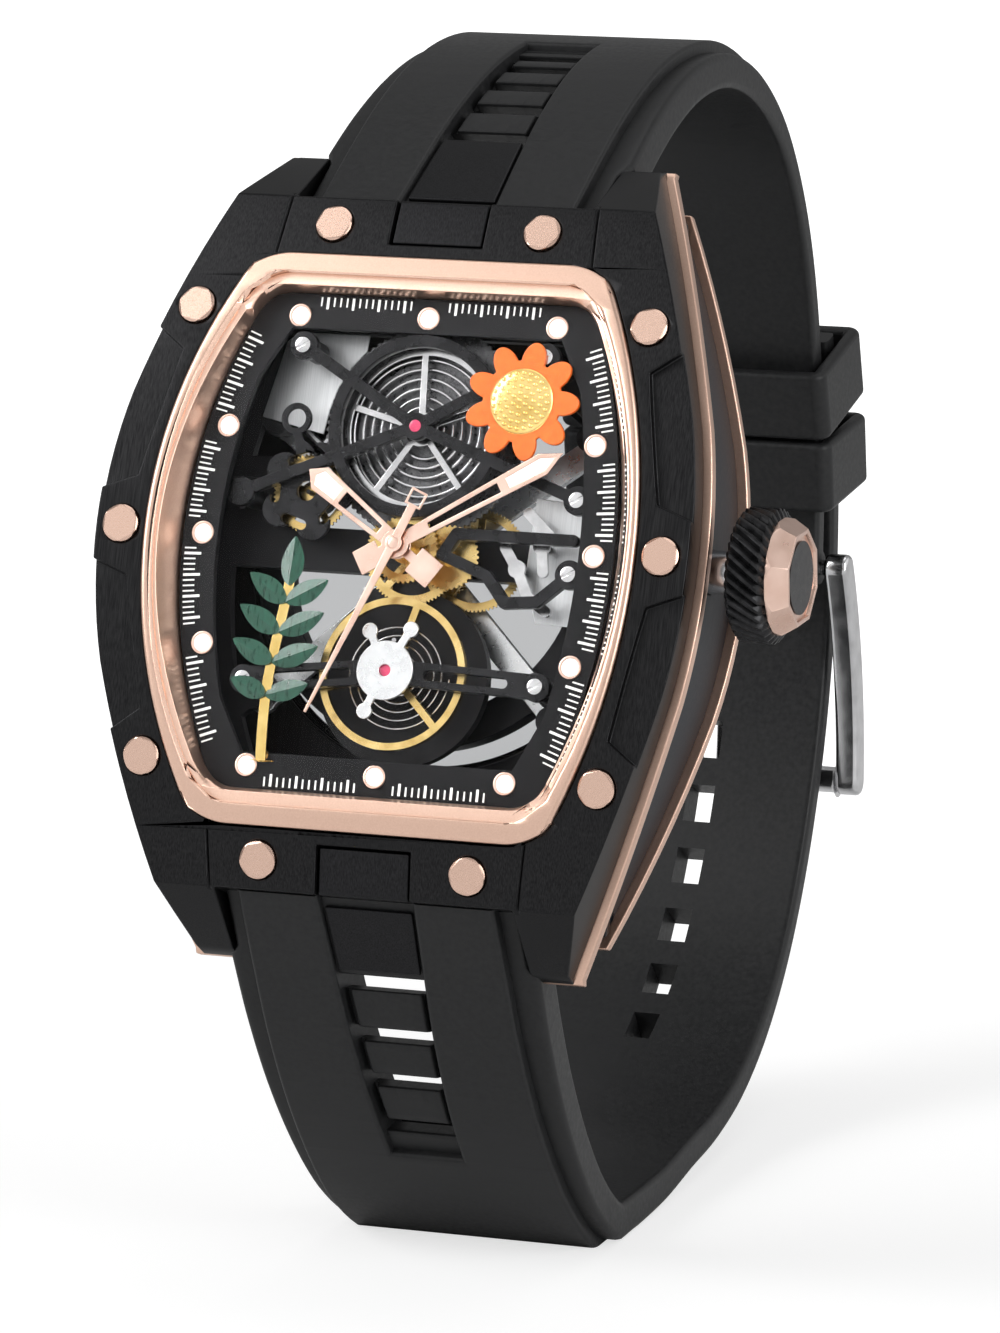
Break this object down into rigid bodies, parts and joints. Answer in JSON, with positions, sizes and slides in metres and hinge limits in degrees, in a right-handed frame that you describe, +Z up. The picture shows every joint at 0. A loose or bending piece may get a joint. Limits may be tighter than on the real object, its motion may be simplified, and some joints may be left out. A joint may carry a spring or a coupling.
{
  "type": "tonneau skeleton wristwatch",
  "caption": "Tonneau skeleton wristwatch with a screwed bezel, open movement, hands, knurled crown and a buckled rubber strap standing on its loop.",
  "frame": {"origin": "centre of the flat foot under the strap loop, on the surface that the watch stands on", "axes": "+X to the crown, +Z up, -Y to the viewer of the dial, which leans back 19 degrees"},
  "size_m": [0.0503, 0.0795, 0.0839],
  "materials": {
    "bezel_black": "brushed black",
    "band_dark": "satin blue-black",
    "rose_metal": "satin rose",
    "back_metal": "satin black",
    "ring_black": "matt black",
    "plate_dark": "matt dark",
    "holder_dark": "matt dark",
    "clear_glass": "polished clear",
    "ruby": "polished",
    "screw_steel": "polished",
    "spring_steel": "polished",
    "brass_wheel": "brushed",
    "rose_hand": "polished rose",
    "gold_leaf": "polished",
    "buckle_steel": "polished",
    "strap_rubber": "matt black",
    "lume_white": "matt white",
    "petal_orange": "enamel orange",
    "leaf_green": "enamel green",
    "rose_metal_screw": "satin rose",
    "rotor_dark": "brushed black"
  },
  "bodies": {
    "case": {"bezel_plate": "bezel_black", "front_rose_rim": "rose_metal", "case_band": "band_dark", "rear_rose_rim": "rose_metal", "caseback_frame": "back_metal", "caseback_glass": "clear_glass", "caseback_screws": "screw_steel", "dial_frame": "rose_metal", "crystal": "clear_glass", "inner_ring": "rose_metal", "chapter_ring": "ring_black", "marker_rims": "rose_hand", "marker_lume": "lume_white", "bezel_screws": "rose_metal_screw", "strap_bars": "screw_steel", "strap_lower": "strap_rubber", "strap_upper": "strap_rubber", "strap_links": "back_metal", "keeper_fixed": "strap_rubber", "main_plate": "plate_dark", "movement_ring": "holder_dark", "barrel_bridge": "plate_dark", "left_bridge": "plate_dark", "right_bridge": "plate_dark", "balance_bridge": "plate_dark", "regulator": "screw_steel", "jewels": "ruby", "movement_screws": "screw_steel", "rear_bridge": "plate_dark", "mainspring": "spring_steel", "hairspring": "spring_steel", "keyless_levers": "screw_steel", "crown_tube": "screw_steel", "flower_petals": "petal_orange", "flower_dome": "gold_leaf", "sprig_leaves": "leaf_green", "sprig_stem": "gold_leaf"},
    "rotor": {"rotor_weight": "rotor_dark"},
    "barrel": {"barrel_drum": "spring_steel", "barrel_cover": "spring_steel"},
    "minutes": {"centre_wheel": "brass_wheel", "minute_hand": "rose_hand", "minute_lume": "lume_white"},
    "hours": {"hour_wheel": "brass_wheel", "hour_hand": "rose_hand", "hour_lume": "lume_white"},
    "motion_work": {"minute_wheel": "brass_wheel"},
    "third": {"third_wheel": "brass_wheel"},
    "seconds": {"fourth_wheel": "brass_wheel", "seconds_hand": "rose_hand"},
    "escape": {"escape_wheel": "spring_steel"},
    "reduction": {"reduction_wheel": "brass_wheel"},
    "fork": {"pallet_fork": "spring_steel"},
    "balance": {"balance_wheel": "brass_wheel"},
    "stem": {"winding_stem": "screw_steel"},
    "crown": {"crown_grip": "bezel_black", "crown_collar": "rose_metal"},
    "buckle": {"buckle_frame": "buckle_steel"},
    "tongue": {"buckle_tongue": "buckle_steel"},
    "keeper": {"keeper_loose": "strap_rubber"}
  },
  "joints": [
    {"name": "minute_turn", "type": "hinge", "parent": "case", "child": "minutes", "pos_m": [0, -0.02216, 0.05202], "axis": [0, -0.9455, 0.3256], "continuous": true},
    {"name": "hour_turn", "type": "hinge", "parent": "case", "child": "hours", "pos_m": [0, -0.02216, 0.05202], "axis": [0, -0.9455, 0.3256], "continuous": true},
    {"name": "minute_wheel_turn", "type": "hinge", "parent": "case", "child": "motion_work", "pos_m": [0.00303, -0.02133, 0.05137], "axis": [0, -0.9455, 0.3256], "continuous": true},
    {"name": "barrel_turn", "type": "hinge", "parent": "case", "child": "barrel", "pos_m": [0, -0.01754, 0.05931], "axis": [0, -0.9455, 0.3256], "continuous": true},
    {"name": "third_turn", "type": "hinge", "parent": "case", "child": "third", "pos_m": [0.00408, -0.01838, 0.05072], "axis": [0, -0.9455, 0.3256], "continuous": true},
    {"name": "seconds_turn", "type": "hinge", "parent": "case", "child": "seconds", "pos_m": [0, -0.01791, 0.05056], "axis": [0, -0.9455, 0.3256], "continuous": true},
    {"name": "escape_turn", "type": "hinge", "parent": "case", "child": "escape", "pos_m": [-0.0022, -0.01949, 0.04751], "axis": [0, -0.9455, 0.3256], "continuous": true},
    {"name": "rotor_turn", "type": "hinge", "parent": "case", "child": "rotor", "pos_m": [0, -0.01602, 0.04991], "axis": [0, -0.9455, 0.3256], "continuous": true},
    {"name": "reduction_turn", "type": "hinge", "parent": "case", "child": "reduction", "pos_m": [-0.0077, -0.01948, 0.05491], "axis": [0, -0.9455, 0.3256], "continuous": true},
    {"name": "fork_rock", "type": "hinge", "parent": "case", "child": "fork", "pos_m": [-0.00095, -0.02033, 0.04505], "axis": [0, -0.9455, 0.3256], "range_deg": [-6, 6]},
    {"name": "balance_swing", "type": "hinge", "parent": "case", "child": "balance", "pos_m": [0, -0.02402, 0.04357], "axis": [0, -0.9455, 0.3256], "range_deg": [-270, 270], "stiffness_Nm_per_rad": 0.0000016},
    {"name": "crown_pull", "type": "slide", "parent": "case", "child": "stem", "axis": [1, 0, 0], "range_m": [0, 0.0014]},
    {"name": "crown_turn", "type": "hinge", "parent": "stem", "child": "crown", "pos_m": [0.022, -0.01989, 0.05124], "axis": [1, 0, 0], "continuous": true},
    {"name": "buckle_swing", "type": "hinge", "parent": "case", "child": "buckle", "pos_m": [0, 0.04237, 0.04101], "axis": [1, 0, 0], "range_deg": [0, 3]},
    {"name": "tongue_swing", "type": "hinge", "parent": "case", "child": "tongue", "pos_m": [0, 0.04237, 0.04101], "axis": [1, 0, 0], "range_deg": [0, 3]},
    {"name": "keeper_slide", "type": "slide", "parent": "case", "child": "keeper", "axis": [0, -0.2651, 0.9642], "range_m": [0, 0.002]}
  ],
  "couplings": [
    {"joint": "hour_turn", "follows": "minute_turn", "ratio": 0.083333},
    {"joint": "minute_wheel_turn", "follows": "minute_turn", "ratio": -0.33333},
    {"joint": "barrel_turn", "follows": "minute_turn", "ratio": -0.13333},
    {"joint": "third_turn", "follows": "minute_turn", "ratio": -8},
    {"joint": "seconds_turn", "follows": "minute_turn", "ratio": 60},
    {"joint": "escape_turn", "follows": "minute_turn", "ratio": -540},
    {"joint": "tongue_swing", "follows": "buckle_swing", "ratio": 1}
  ]
}
